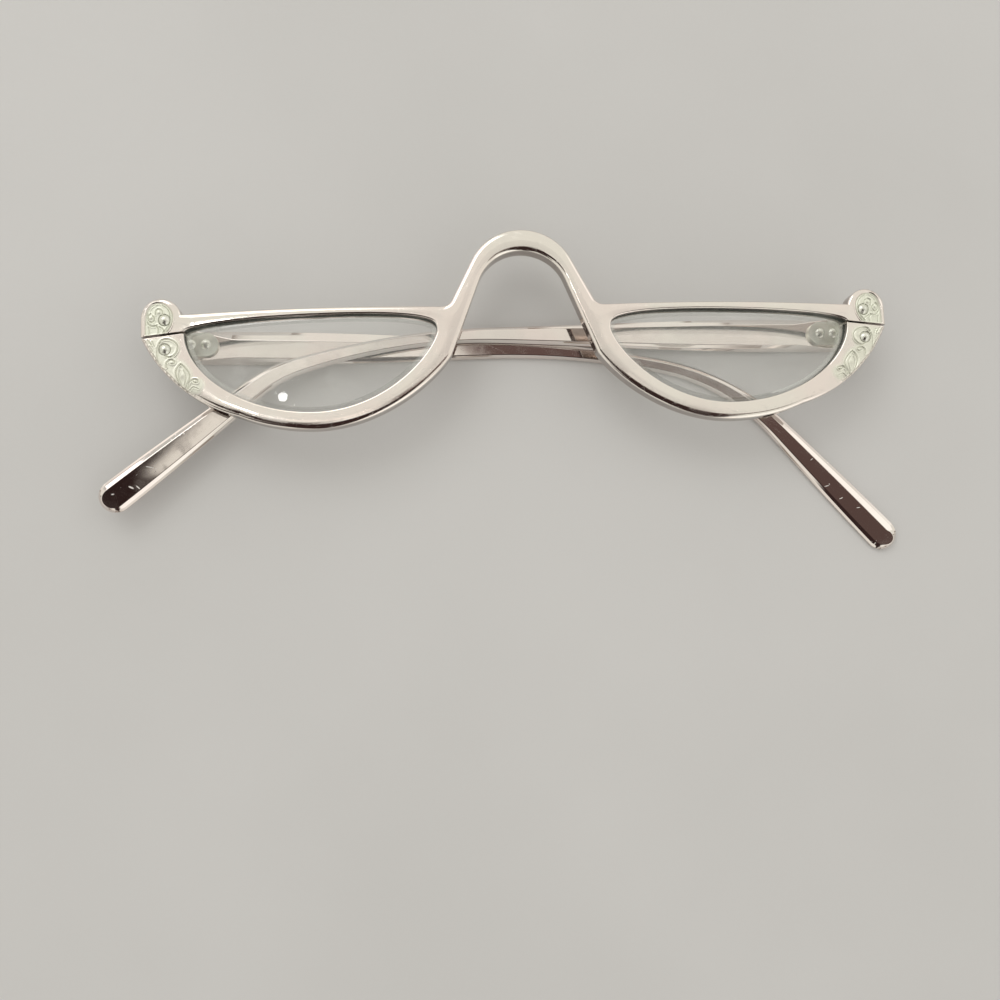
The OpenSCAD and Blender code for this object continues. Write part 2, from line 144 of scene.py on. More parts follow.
# Dents near the tips: along, across, length, width, turn
DENTS = [(138.1, 39.4, 0.55, 0.16, 65), (137.2, 38.7, 0.5, 0.1, 80), (141.2, 40.4, 0.3, 0.12, 30),
         (133.5, 40.2, 0.8, 0.07, 50), (125.5, 41.3, 0.35, 0.09, 75), (127.5, -1.2, 0.5, 0.07, 60),
         (131.0, -0.9, 0.45, 0.08, 70), (134.5, 0.2, 0.4, 0.07, 55), (122.0, 0.3, 0.3, 0.08, 80)]


def mix(a, b, k):
    return a + (b - a) * k


def smooth(x, low, high):
    k = np.clip((x - low) / (high - low), 0, 1)
    return k * k * (3 - 2 * k)


def sin(a):
    return np.sin(np.radians(a))


def cos(a):
    return np.cos(np.radians(a))


def tan(a):
    return math.tan(math.radians(a))


def unit(v):
    return v / np.linalg.norm(v, axis=-1, keepdims=True)


def square_to(d):
    """Unit vectors at right angles to d, on its right-hand side."""
    return unit(np.c_[d[:, 1], -d[:, 0]])


def even(gap):
    """A spacing for resample that is the same everywhere."""
    return lambda p: np.full(len(p), gap)


def arc(centre, r, start, end):
    a = np.linspace(start, end, max(2, int(abs(end - start)) + 1))
    return np.c_[centre[0] + r * cos(a), centre[1] + r * sin(a)]


# Outline of the front

def brow(x):
    return BROW_Y - (x - LENS_X + BROW_IN) ** 2 / (2 * BROW_R)


def bar_top(x):
    return BROW_Y + BAR_H - (x - LENS_X + BROW_IN) ** 2 / (2 * BAR_R)


def opening(t):
    """Points of the edge of the right opening: 0 is its temple end, 90 its top, 180 at the nose."""
    t = np.atleast_1d(t)
    c, s = cos(t), sin(t)
    above = s >= 0
    x = LENS_X + LENS_W / 2 * np.sign(c) * np.abs(c) ** np.where(above, 2 / TOP_POWER, 1)
    power = np.where(above, TOP_POWER, np.where(c < 0, NOSE_POWER, SIDE_POWER))
    k = np.abs(s) ** (2 / power)
    return np.c_[x, np.where(above, mix(LENS_Y, brow(x), k), LENS_Y - LENS_DROP * k)]


def outward(t):
    return square_to(opening(t + 0.5) - opening(t - 0.5))


def rim_edge(t):
    t = np.atleast_1d(t)
    return opening(t) + (RIM_W + NOSE_W * np.maximum(0, -cos(t)) ** 4)[:, None] * outward(t)


def spacing(p):
    return mix(COARSE, FINE, smooth(p[:, 0], FINE_X - 1.5, FINE_X))


def resample(points, gap=spacing):
    """The same line with points a gap apart, its two ends kept."""
    step = np.linalg.norm(np.diff(points, axis=0), axis=1)
    count = np.concatenate([[0], np.cumsum(step / gap((points[1:] + points[:-1]) / 2))])
    at = np.linspace(0, count[-1], max(1, round(count[-1])) + 1)
    return np.column_stack([np.interp(at, count, points[:, k]) for k in (0, 1)])


def slot_line(x, side):
    """Height of an edge of the split: side is 1 for its upper edge and -1 for its lower one."""
    return SPLIT_Y + (FRONT_X - x) * tan(SPLIT_SLOPE) \
        + side * SPLIT_GAP / 2 / cos(SPLIT_SLOPE)


def half_outline():
    """Runs of the outline of the right half, clockwise, each as (kind, points)."""
    foot_y = bar_top(BRIDGE_GAP / 2)
    foot_x = ARCH_OUT_R * cos(FLANK_OUT) \
        + (ARCH_Y - ARCH_OUT_R * (1 - sin(FLANK_OUT)) - foot_y) * tan(FLANK_OUT)
    side = CORNER_R / tan((90 + FLANK_OUT) / 2)
    bar_x = np.linspace(foot_x + side + 0.5, FRONT_X - 2 * KNOB_R, 200)
    top = np.vstack([
        arc((0, ARCH_Y - ARCH_OUT_R), ARCH_OUT_R, 90, FLANK_OUT),
        arc((foot_x + side, foot_y + CORNER_R), CORNER_R, 180 + FLANK_OUT, 270),
        np.c_[bar_x, bar_top(bar_x)]])
    centre = (FRONT_X - KNOB_R, SPLIT_Y + KNOB_UP)
    notch = math.degrees(math.asin((bar_top(FRONT_X - 2 * KNOB_R) - centre[1]) / KNOB_R))
    knob = np.vstack([arc(centre, KNOB_R, 180 - notch, 0), [[FRONT_X, slot_line(FRONT_X, 1)]]])
    top[-1] = knob[0]
    # The split meets the opening above its widest level
    t = np.linspace(0, 60, 24001)
    lens = opening(t)
    over = lens[:, 1] - slot_line(lens[:, 0], 1)
    under = lens[:, 1] - slot_line(lens[:, 0], -1)
    t_up, t_low = t[np.argmax(over > 0)], t[np.argmax(under > 0)]
    loop = opening(np.linspace(t_up, 360 + t_low, 14401))
    a, b = np.array([FRONT_X, SPLIT_Y]), rim_edge(JAW_TURN)[0]
    chord = b - a
    way = np.array([chord[1], -chord[0]]) / np.linalg.norm(chord)
    middle = (a + b) / 2 + math.sqrt(JAW_R ** 2 - chord @ chord / 4) * way
    turns = [math.degrees(math.atan2(p[1] - middle[1], p[0] - middle[0])) for p in (a, b)]
    jaw_t = np.linspace(*turns, 400)
    jaw = np.c_[middle[0] + JAW_R * cos(jaw_t), middle[1] + JAW_R * sin(jaw_t)]
    jaw = jaw[jaw[:, 1] < slot_line(jaw[:, 0], -1)]
    low_arc = arc((0, ARCH_Y - ARCH_W - ARCH_IN_R), ARCH_IN_R, FLANK_IN, 90)
    under_side = np.vstack([rim_edge(np.linspace(JAW_TURN, NOSE_TURN, 800)), low_arc])
    low_arc[-1, 0] = under_side[-1, 0] = top[0, 0] = 0
    runs = [("outer", top), ("outer", knob), ("slot", [knob[-1], loop[0]]), ("inner", loop),
            ("slot", [loop[-1], jaw[0]]), ("outer", jaw), ("outer", under_side),
            ("cut", [under_side[-1], top[0]])]
    return [(kind, resample(np.array(line))) for kind, line in runs]


def nearest(points, lines):
    """Distance from each point to the nearest of the lines, and the way from there to the point."""
    a = np.vstack([line[:-1] for line in lines])
    b = np.vstack([line[1:] for line in lines])
    (ax, ay), (bx, by) = a.T, (b - a).T
    size = np.maximum(bx * bx + by * by, 1e-12)
    distance, way = np.empty(len(points)), np.empty((len(points), 2))
    for i in range(0, len(points), AT_ONCE):
        part = slice(i, i + AT_ONCE)
        x, y = points[part, 0, None] - ax, points[part, 1, None] - ay
        t = np.clip((x * bx + y * by) / size, 0, 1)
        x, y = x - t * bx, y - t * by
        far = x * x + y * y
        at = np.arange(len(far)), far.argmin(1)
        distance[part] = np.sqrt(far[at])
        way[part] = np.c_[x[at], y[at]]
    return distance, way / np.maximum(distance, 1e-9)[:, None]


def near_line(points, line, reach):
    """Distance from each point to the line, right where it is below reach."""
    distance = np.full(len(points), 9.0)
    close = ((points > line.min(0) - reach) & (points < line.max(0) + reach)).all(1)
    if close.any():
        distance[close] = nearest(points[close], [line])[0]
    return distance


def inside(points, loop):
    """True for each point inside the closed loop."""
    a, b = loop, np.roll(loop, -1, 0)
    out = np.empty(len(points), bool)
    for i in range(0, len(points), AT_ONCE):
        part = slice(i, i + AT_ONCE)
        x, y = points[part, 0, None], points[part, 1, None]
        crosses = (a[:, 1] > y) != (b[:, 1] > y)
        with np.errstate(divide="ignore", invalid="ignore"):
            at = a[:, 0] + (y - a[:, 1]) * (b[:, 0] - a[:, 0]) / (b[:, 1] - a[:, 1])
        out[part] = (crosses & (x < at)).sum(1) % 2 == 1
    return out


# Ornament of an end piece, as lines on the right-hand one: (points, half width, depth)

KNOB_FIELD = [(65.26, 1.34), (65.25, 2.61), (65.19, 3.88), (65.06, 4.93), (64.68, 5.99),
              (64.02, 6.78), (63.2, 7.05), (62.29, 6.96), (61.48, 6.49), (60.88, 5.72),
              (60.63, 4.75), (60.77, 3.59), (61.16, 2.64), (61.82, 1.75)]
JAW_FIELD = [(65.1, 0.55), (62.6, 0.95), (60.6, 0.9), (59.6, 0.1), (59.5, -1.5), (59.9, -2.7),
             (58.9, -3.2), (57.7, -4.6), (57.2, -5.9), (55.9, -6.3), (55.4, -7.4), (56.4, -8.9),
             (58.1, -8.4), (60.7, -6.0), (63.0, -3.4), (64.4, -1.0)]
LINES = [
    (KNOB_FIELD, 0.11, 0.1),
    ([(63.51, 6.77), (64.22, 6.3), (64.68, 5.56), (64.92, 4.72), (64.86, 3.76), (64.44, 3.17),
      (63.84, 2.98), (63.23, 3.15)], 0.1, 0.08),
    ([(64.28, 5.19), (64.66, 4.82), (64.68, 4.18), (64.34, 3.73), (63.85, 3.83), (63.65, 4.38),
      (63.93, 4.81)], 0.09, 0.09),
    ([(63.47, 5.01), (63.4, 5.7), (62.91, 6.01), (62.35, 5.69), (62.3, 5.1)], 0.09, 0.08),
    ([(62.29, 6.61), (61.59, 6.12), (61.17, 5.4), (61.07, 4.55), (61.18, 3.6), (61.51, 2.75),
      (62.17, 1.92)], 0.09, 0.08),
    ([(63.33, 3.0), (63.03, 2.46), (63.06, 1.72)], 0.09, 0.08),
    ([(62.88, 2.88), (62.32, 2.55), (62.07, 2.02)], 0.09, 0.07),
    ([(64.65, 2.81), (64.55, 1.96), (64.6, 1.43)], 0.09, 0.07),
    ([(62.95, -0.03), (62.44, 0.52), (61.53, 0.69), (60.62, 0.4), (59.96, -0.24), (59.8, -0.99),
      (60.08, -1.72), (60.64, -2.29), (61.35, -2.45), (61.83, -2.16)], 0.1, 0.1),
    ([(62.74, 0.13), (63.2, -0.81), (63.32, -1.87), (63.15, -2.92), (62.85, -3.88)], 0.09, 0.08),
    ([(65.36, 0.6), (64.82, -0.41), (64.32, -1.32), (63.77, -2.28), (63.32, -3.13),
      (62.92, -4.03), (62.13, -4.57), (61.45, -5.27), (60.66, -6.12), (59.92, -6.96),
      (59.08, -7.81), (58.13, -8.49), (57.29, -9.07)], 0.09, 0.07),
    ([(64.81, 0.59), (64.16, -0.29)], 0.09, 0.08),
    ([(64.06, 0.35), (63.66, -0.61)], 0.09, 0.06),
    ([(64.5, -0.52), (63.95, -1.38)], 0.09, 0.08),
    ([(63.92, -1.9), (63.47, -2.6)], 0.08, 0.07),
    ([(61.79, -4.21), (61.72, -3.47), (61.3, -3.04), (60.74, -2.94), (60.34, -3.24), (60.51, -3.61),
      (60.94, -3.55)], 0.1, 0.1),
    ([(59.36, -3.68), (59.92, -4.33), (60.18, -5.08), (60.08, -5.85), (59.71, -6.75),
      (59.21, -7.64), (58.71, -8.15)], 0.1, 0.1),
    ([(59.28, -3.71), (58.71, -4.22), (58.18, -4.9), (57.86, -5.68), (57.94, -6.45),
      (58.29, -7.28), (58.68, -8.1)], 0.1, 0.1),
    ([(59.46, -4.76), (59.68, -5.64), (59.47, -6.53), (59.08, -7.42)], 0.08, 0.06),
    ([(58.86, -4.77), (58.51, -5.67), (58.52, -6.44), (58.78, -7.43)], 0.08, 0.06),
    ([(58.17, -7.94), (58.06, -7.23), (57.73, -6.68), (57.15, -6.38), (56.56, -6.48), (56.5, -6.84),
      (56.84, -6.99), (57.22, -6.8)], 0.1, 0.1),
    ([(57.81, -8.32), (57.27, -7.73), (56.42, -8.04)], 0.08, 0.06),
]
# Round bosses of the ornament: (middle, radius, height)
BOSSES = [((64.23, 4.5), 0.34, 0.1), ((62.91, 5.43), 0.3, 0.09), ((63.78, 3.45), 0.2, 0.05),
          ((60.86, -3.5), 0.25, 0.06), ((56.95, -6.75), 0.22, 0.05), ((59.05, -5.6), 0.55, 0.05),
          ((60.9, -0.7), 0.3, 0.03)]
FIELD_DEEP = 0.035
# Scallops along the outer edge of the jaw, down to a height: how far apart, wide and deep
SCALLOPS_TO, SCALLOP_GAP, SCALLOP_W, SCALLOP_DEEP = -9, 0.95, 0.3, 0.16
# Ring cut round a rivet head: how deep, how wide, how far outside the head
SEAT_DEEP, SEAT_W, SEAT_OUT = 0.12, 0.09, 0.04


def curved(points):
    """A smooth line through the points."""
    p = np.array([points[0], *points, points[-1]], float)
    out = []
    for i in range(len(points) - 1):
        a, b, c, d = p[i:i + 4]
        for t in np.linspace(0, 1, 6, endpoint=False):
            out.append(0.5 * (2 * b + (c - a) * t + (2 * a - 5 * b + 4 * c - d) * t ** 2
                              + (3 * b - a - 3 * c + d) * t ** 3))
    return np.array(out + [p[-1]])


def area(points, loop, blur):
    """1 well inside the loop and 0 well outside it."""
    line = curved([*loop, loop[0]])
    distance = near_line(points, line, 2 * blur)
    return smooth(np.where(inside(points, line), distance, -distance), -blur, blur)


def carving(p):
    """Height of the ornament, how deep each point lies in its lines, and how far in its fields."""
    knob, jaw = area(p, KNOB_FIELD, 0.14), area(p, JAW_FIELD, 0.5)
    field = np.maximum(knob, 0.85 * jaw)
    height = -FIELD_DEEP * knob
    dark = np.zeros(len(p))
    for points, width, depth in LINES:
        d = near_line(p, curved(points), 6 * width)
        cut = np.exp(-(d / width) ** 2)
        height += depth * (0.35 * np.exp(-((d - 2.3 * width) / (1.1 * width)) ** 2) - cut)
        dark = np.maximum(dark, cut)
    for middle, r, tall in BOSSES:
        height += tall * np.exp(-(np.linalg.norm(p - middle, axis=1) / r) ** 2)
    for middle in RIVETS:
        off = np.linalg.norm(p - middle, axis=1) - RIVET_HEAD_R - SEAT_OUT
        ring = np.exp(-(off / SEAT_W) ** 2)
        height -= SEAT_DEEP * ring
        dark = np.maximum(dark, ring)
    return height, dark, field


def fall(d, reach, drop):
    """How far an elliptically rounded edge has fallen at a distance d from it."""
    return drop * (1 - np.sqrt(1 - (1 - np.clip(d / reach, 0, 1)) ** 2))


def face_height(p, outer, inner, slot):
    """Height of the face of the front at p, from its distances to the edges."""
    end = smooth(p[:, 0], END_FROM, END_TO)
    near = -CROWN_BLEND * np.log(np.exp(-outer / CROWN_BLEND) + np.exp(-inner / CROWN_BLEND))
    crown = CROWN * (1 - np.clip(near / CROWN_W, 0, 1)) ** CROWN_POWER
    brim = BRIM * (1 - np.clip(outer / BRIM_W, 0, 1)) ** 2
    side = [mix(a, b, end) for a, b in zip(ROUND["outer"], END_ROUND)]
    return FACE_Z - FACE_IN - mix(crown, brim, end) - fall(outer, *side) \
        - fall(inner, *ROUND["inner"]) - fall(slot, *ROUND["slot"])


def add_object(name, data):
    thing = bpy.data.objects.new(name, data)
    bpy.context.scene.collection.objects.link(thing)
    return thing


def build_mesh(name, points, faces, body, material, marks, normals=None):
    """A piece from points in mm, with marks for each point.

    normals has one for each corner of a face, or zero to keep its own."""
    mesh = bpy.data.meshes.new(name)
    mesh.from_pydata((np.asarray(points) * MM).tolist(), [], faces)
    for polygon in mesh.polygons:
        polygon.use_smooth = True
    mesh.set_sharp_from_angle(angle=math.radians(SHARP))
    for key, values in marks.items():
        attribute = mesh.attributes.new(key, "FLOAT", "POINT")
        attribute.data.foreach_set("value", np.asarray(values, np.float32))
    if normals is not None:
        mesh.normals_split_custom_set(normals.tolist())
    mesh.materials.append(material)
    piece = add_object(name, mesh)
    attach(piece, body)
    return piece


def thinned(points, least):
    """The points without those that lie closer than least to an earlier one."""
    cells, kept = {}, []
    for i, (x, y) in enumerate(points):
        cell = (int(x // least), int(y // least))
        near = [j for a in (-1, 0, 1) for b in (-1, 0, 1)
                for j in cells.get((cell[0] + a, cell[1] + b), ())]
        if all((x - points[j][0]) ** 2 + (y - points[j][1]) ** 2 >= least * least for j in near):
            cells.setdefault(cell, []).append(i)
            kept.append(i)
    return points[kept]


def hexagons(low, high, gap):
    """Points a gap apart in rows between two corners, every other row shifted by half a gap."""
    rows = []
    for i, y in enumerate(np.arange(low[1], high[1], gap * math.sqrt(3) / 2)):
        x = np.arange(low[0] + (i % 2) * gap / 2, high[0], gap)
        rows.append(np.c_[x, np.full(len(x), y)])
    return np.vstack(rows)


def triangles(loop, extra):
    """Triangles inside the loop over its points and the extra ones, as indices into both."""
    points = [Vector(p) for p in np.vstack([loop, extra]).tolist()]
    made = delaunay_2d_cdt(points, [], [list(range(len(loop)))], 1, 1e-7)
    old = [ids[0] if ids else -1 for ids in made[3]]
    return [[old[i] for i in face] for face in made[2] if min(old[i] for i in face) >= 0]


def edge_rows(runs):
    """Rows of points beside every edge, closer together where it is rounded.

    Returns the points, how far in each was laid, and whether it lies in a rounding."""
    points, depths, rounded = [], [], []
    for kind, line in runs:
        if kind == "cut":
            continue
        inwards, reach = square_to(np.gradient(line, axis=0)), ROUND[kind][0]
        rows = [reach * (1 - math.cos(math.radians(a))) for a in range(6, 91, 7)]
        rows = [d for d in rows if d > FIRST_ROW]
        for depth in rows + list(np.arange(reach + ROW_GAP, ROWS_TO, ROW_GAP)):
            points.append(line + inwards * depth)
            depths.append(np.full(len(line), depth))
            rounded.append(np.full(len(line), depth <= reach + HAIR))
    return np.vstack(points), np.concatenate(depths), np.concatenate(rounded)


def face_points(runs, kinds, loop):
    """Points inside the outline: rows along its edges, and a fine grid where it is carved."""
    every = sum(kinds.values(), [])
    rows, depth, rounded = edge_rows(runs)
    keep = (nearest(rows, every)[0] > 0.97 * depth) & (rows[:, 0] > SEAM_FREE) \
        & (rounded | (rows[:, 0] < FINE_X))
    close = thinned(rows[keep & rounded], CLOSE_GAP)
    loose = thinned(rows[keep & ~rounded], LOOSE_GAP)
    grid = hexagons((FINE_X, CARVED_LOW), (FRONT_X, CARVED_HIGH), CARVED)
    grid = grid[inside(grid, loop)]
    to_any, to_inner, to_slot = (nearest(grid, lines)[0]
                                 for lines in (every, kinds["inner"], kinds["slot"]))
    least = np.where(to_inner < to_any + HAIR, ROUND["inner"][0],
                     np.where(to_slot < to_any + HAIR, ROUND["slot"][0], END_ROUND[0]))
    return np.vstack([close, loose, grid[to_any > least + CARVED_FREE]])


def relief(plane, kinds, loop, inwards):
    """Heights, normals and marks of the face at the points of plane, which start with the loop."""
    measured = {kind: nearest(plane, lines) for kind, lines in kinds.items()}
    for distance, towards in measured.values():
        on_edge = np.flatnonzero(distance[:len(loop)] < HAIR)
        towards[on_edge] = inwards[on_edge]
    jaw = resample(kinds["outer"][2], even(SCALLOP_GAP))
    scallops = [p for p in jaw[1:] if p[1] > SCALLOPS_TO]

    def height_at(shift):
        p = plane + shift
        d = [np.maximum(measured[k][0], NUDGE) + measured[k][1] @ np.array(shift)
             for k in ("outer", "inner", "slot")]
        z = face_height(p, *d)
        carve, dark, field = np.zeros(len(p)), np.zeros(len(p)), np.zeros(len(p))
        zone = p[:, 0] > FINE_X - 1
        carve[zone], dark[zone], field[zone] = carving(p[zone])
        fade = smooth(np.minimum(d[0], d[2]), 0.05, 0.3)
        scallop = np.zeros(len(p))
        for middle in scallops:
            scallop[zone] += np.exp(-((p[zone] - middle) ** 2).sum(1) / SCALLOP_W ** 2)
        dark = np.maximum(dark * fade, 0.6 * scallop)
        return z + carve * fade - SCALLOP_DEEP * scallop, dark, field

    z, dark, field = height_at((0.0, 0.0))
    slope_x = (height_at((NUDGE, 0.0))[0] - z) / NUDGE
    slope_y = (height_at((0.0, NUDGE))[0] - z) / NUDGE
    normals = unit(np.c_[-slope_x, -slope_y, np.ones(len(plane))])
    edge = 1 - smooth(np.minimum(measured["outer"][0], measured["inner"][0]), 0.0, 0.5)
    return z, normals, {"dark": dark, "field": field, "edge": edge}


def walls_below(loop, kind_of, inwards, z, before):
    """Walls from the loop at heights z down to the back, with the lens's groove round the opening.

    Returns their points, which come after the ones before, how shaded each is, the faces, and the
    points at the foot of the walls."""
    high, low = (BACK_Z + GROOVE_UP + k * (EDGE_T / 2 + LENS_CLEAR) for k in (1, -1))
    levels = [(0, high), (GROOVE_D, high), (GROOVE_D, low), (0, low)]
    extra, shaded, columns = [], [], []
    for i, p in enumerate(loop):
        inner = kind_of[i] == "inner"
        extra.append([*p, z[i] - WALL_FROM])
        column = [i, before + len(extra) - 1]
        for depth, level in levels:
            if inner or not depth:
                extra.append([*(p + inwards[i] * depth), level])
            column.append(before + len(extra) - 1)
        # Painted shade: full on the opening's walls, most of it on the outer walls, little at the
        # back
        shaded += [1 if inner else 0.7] * (len(extra) - len(shaded))
        for depth, level in ((0, BACK_Z + BACK_BREAK), (BACK_BREAK, BACK_Z)):
            extra.append([*(p + inwards[i] * depth), level])
            column.append(before + len(extra) - 1)
        shaded += [0.6, BACK_SHADE]
        columns.append(column)
    faces = []
    for i, column in enumerate(columns):
        other = columns[(i + 1) % len(columns)]
        if kind_of[i] == "cut":
            continue
        for k in range(len(column) - 1):
            ring = [column[k], other[k], other[k + 1], column[k + 1]]
            ring = [v for j, v in enumerate(ring) if v != ring[j - 1]]
            if len(ring) > 2:
                faces.append(ring)
    return extra, shaded, faces, [column[-1] for column in columns]


def front_shape():
    """Points, faces, corner normals and marks of the whole front."""
    runs = half_outline()
    kinds = {kind: [line for k, line in runs if k == kind] for kind in ("outer", "inner", "slot")}
    loop = np.vstack([line[:-1] for _, line in runs])
    kind_of = [kind for kind, line in runs for _ in line[:-1]]
    plane = np.vstack([loop, face_points(runs, kinds, loop)])
    tops = triangles(loop, plane[len(loop):])
    inwards = square_to(np.roll(loop, -1, 0) - np.roll(loop, 1, 0))
    z, top_normals, marks = relief(plane, kinds, loop, inwards)

    # The groove and the break of the back edge shrink to nothing at the outline's corners
    corners = np.array([line[0] for _, line in runs[1:-1]])
    to_corner = np.sqrt(((loop[:, None] - corners) ** 2).sum(2)).min(1)
    on_cut = loop[:, 0] < HAIR
    up_or_down = np.where(loop[on_cut, 1] > SEAM_PARTS, -1, 1)
    inwards[on_cut] = np.c_[np.zeros(on_cut.sum()), up_or_down]
    inwards *= np.clip(to_corner / GROOVE_D, 0.04, 1)[:, None]
    inwards[on_cut] = unit(inwards[on_cut])
    extra, shaded, walls, foot = walls_below(loop, kind_of, inwards, z, len(plane))
    points = np.vstack([np.c_[plane, z], extra])

    low_loop = points[foot][:, :2]
    grid = hexagons(BACK_FROM, BACK_TO, BACK_GRID)
    grid = grid[inside(grid, low_loop)]
    grid = grid[nearest(grid, [np.vstack([low_loop, low_loop[:1]])])[0] > BACK_FREE]
    after = len(points) - len(foot)
    points = np.vstack([points, np.c_[grid, np.full(len(grid), BACK_Z)]])
    bottoms = [[foot[i] if i < len(foot) else after + i for i in face][::-1]
               for face in triangles(low_loop, grid)]

    # The other half is its mirror image, joined to it where x is 0
    count = len(points)
    marks = {key: np.pad(values, (0, count - len(plane))) for key, values in marks.items()}
    # This mark carries the painted shade of the walls and the back
    marks["painted_wall_shade"] = np.concatenate([np.zeros(len(plane)), shaded, np.full(len(grid), BACK_SHADE)])
    seam = np.abs(points[:, 0]) < HAIR
    mirror = np.where(seam, np.arange(count), count + np.cumsum(~seam) - 1)
    faces = tops + walls + bottoms
    normals = []
    for flip, step in ((1, 1), (-1, -1)):
        for k, face in enumerate(faces):
            normals += [top_normals[i] * [flip, 1, 1] if k < len(tops) else (0, 0, 0)
                        for i in face[::step]]
    faces += [[int(mirror[i]) for i in face][::-1] for face in faces]
    points = np.vstack([points, points[~seam] * [-1, 1, 1]])
    marks = {key: np.concatenate([values, values[~seam]]) for key, values in marks.items()}
    return points, faces, np.array(normals, float), marks


# Lenses

def lens_shape(side):
    """Points, faces and marks of a lens, round on both sides, with a tongue for the groove."""
    outline = resample(opening(np.linspace(0, 360, 7201)), even(LENS_GAP))[:-1]
    way = square_to(np.roll(outline, -1, 0) - np.roll(outline, 1, 0))
    centre = np.array([LENS_X, LENS_Y - LENS_DROP / 2])
    groove_z = BACK_Z + GROOVE_UP
    crown_z = groove_z + CROWN_SHARE * LENS_T

    def bulge(p, top, r):
        return top - r + np.sqrt(r ** 2 - ((p - centre) ** 2).sum(1))

    def surface(top, r, shares):
        lines = (centre + (inset - centre) * k for k in shares)
        return [np.c_[p, bulge(p, top, r)] for p in lines]

    def ring(p, z):
        return np.c_[p, np.full(len(p), z)]

    inset, flush = outline - LENS_BEVEL * way, outline - LENS_CLEAR * way
    tongue = outline + (GROOVE_D - LENS_CLEAR) * way
    front, back = (crown_z, LENS_FRONT_R), (crown_z - LENS_T, LENS_BACK_R)
    lip = np.minimum(groove_z + EDGE_T / 2, bulge(inset, *front) - WALL_END)
    low = groove_z - EDGE_T / 2
    shares = np.append(np.linspace(0, 0.97, 14)[1:], [0.995, 1])
    rings = surface(*front, shares)
    rings += [ring(flush, lip), ring(tongue, lip), ring(tongue, low), ring(flush, low),
              ring(flush, bulge(inset, *back) + WALL_FOOT)]
    rings += surface(*back, shares[::-1])
    n, count = len(outline), len(shares)
    points = np.vstack([[[*centre, crown_z]], *rings, [[*centre, crown_z - LENS_T]]])
    faces = [[0, 1 + j, 1 + (j + 1) % n] for j in range(n)]
    for i in range(len(rings) - 1):
        a, b = 1 + i * n, 1 + (i + 1) * n
        faces += [[a + j, b + j, b + (j + 1) % n, a + (j + 1) % n] for j in range(n)]
    last, end = 1 + (len(rings) - 1) * n, len(points) - 1
    faces += [[last + j, end, last + (j + 1) % n] for j in range(n)]
    level = [0] * (count - 1) + [1] * (len(rings) - 2 * count + 2) + [0] * (count - 1)
    edge = np.concatenate([[0], np.repeat(level, n), [0]])
    if side == LEFT:
        faces = [face[::-1] for face in faces]
    return points * [side, 1, 1], faces, {"edge": edge}


# Temples

def step_along(a, b, length):
    if abs(b) < 0.01:
        return length * np.array([cos(a), -sin(a)])
    return length / math.radians(b) * np.array([sin(a + b) - sin(a), cos(a + b) - cos(a)])


def walk(s, side):
    """Place and slope of the middle line of a temple at s along it."""
    at, a = np.zeros(2), DROOP[side]
    for length, turn in RUNS[side]:
        if s <= length:
            return at + step_along(a, turn * s / length, s), a + turn * s / length
        at = at + step_along(a, turn, length)
        s, a = s - length, a + turn


def plain_height(s):
    return mix(mix(BUTT_H, WAIST_H, smooth(s, TAPER_FROM, WAIST_AT)), TIP_H,
               smooth(s, WAIST_AT + WAIST_L, TIP_S))


def half_section(edge, top, inset, slope):
    """Half a cross-section, from the back round the edge to the main face, with filleted bends.

    Each point is (inwards, up, how near to a ridge)."""
    ring = np.array([(EDGE_BREAK + 1, 0), (EDGE_BREAK, 0), (0, EDGE_BREAK), (0, edge),
                     (BEVEL_BEND[0] * inset, mix(edge, top, BEVEL_BEND[1])), (inset, top),
                     (inset + 1, top + slope)])
    out = []
    for i in range(1, len(ring) - 1):
        p, a, c = ring[i], ring[i - 1] - ring[i], ring[i + 1] - ring[i]
        reach = [min(FILLET, 0.4 * np.linalg.norm(v)) / np.linalg.norm(v) for v in (a, c)]
        ridge = 1 if i > 2 else 0.3
        out += [[*(p + (1 - k) ** 2 * reach[0] * a + k ** 2 * reach[1] * c), ridge] for k in BENDS]
    return np.array(out)


def temple_row(s, turn, side):
    """The half-section at s along a temple, turned by degrees from its upper edge round its tip.

    Returns how far its points lie along and across, their heights and their ridges."""
    w = plain_height(s) / 2
    thin = smooth(s, BEVEL_FROM, THIN_AT)
    t = mix(TEMPLE_T, ARM_T, thin)
    high, low = (mix(EDGE_BREAK, 2 * share * w, smooth(s, *BEVEL_GROWS))
                 for share in BEVEL_SHARES[side])
    face = 2 * w - high - low
    lean = face * tan(LEAN[side][2] * smooth(s, *LEAN[side][:2]))
    lean = max(0, min(lean, t - EDGE_H - BEVEL_LEAST))
    upper = (1 + cos(turn)) / 2
    inset = mix(mix(low, high, upper), TIP_RIM, sin(turn) ** 2)
    edge = mix(EDGE_H - 0.3 * lean, mix(EDGE_H, EDGE_HIGH, thin), upper)
    top = t - lean / face * (w - high - (w - inset) * cos(turn))
    inwards, up, ridge = half_section(edge, top, inset, -lean / face * cos(turn)).T
    return (w - inwards) * sin(turn), (w - inwards) * cos(turn), up, ridge


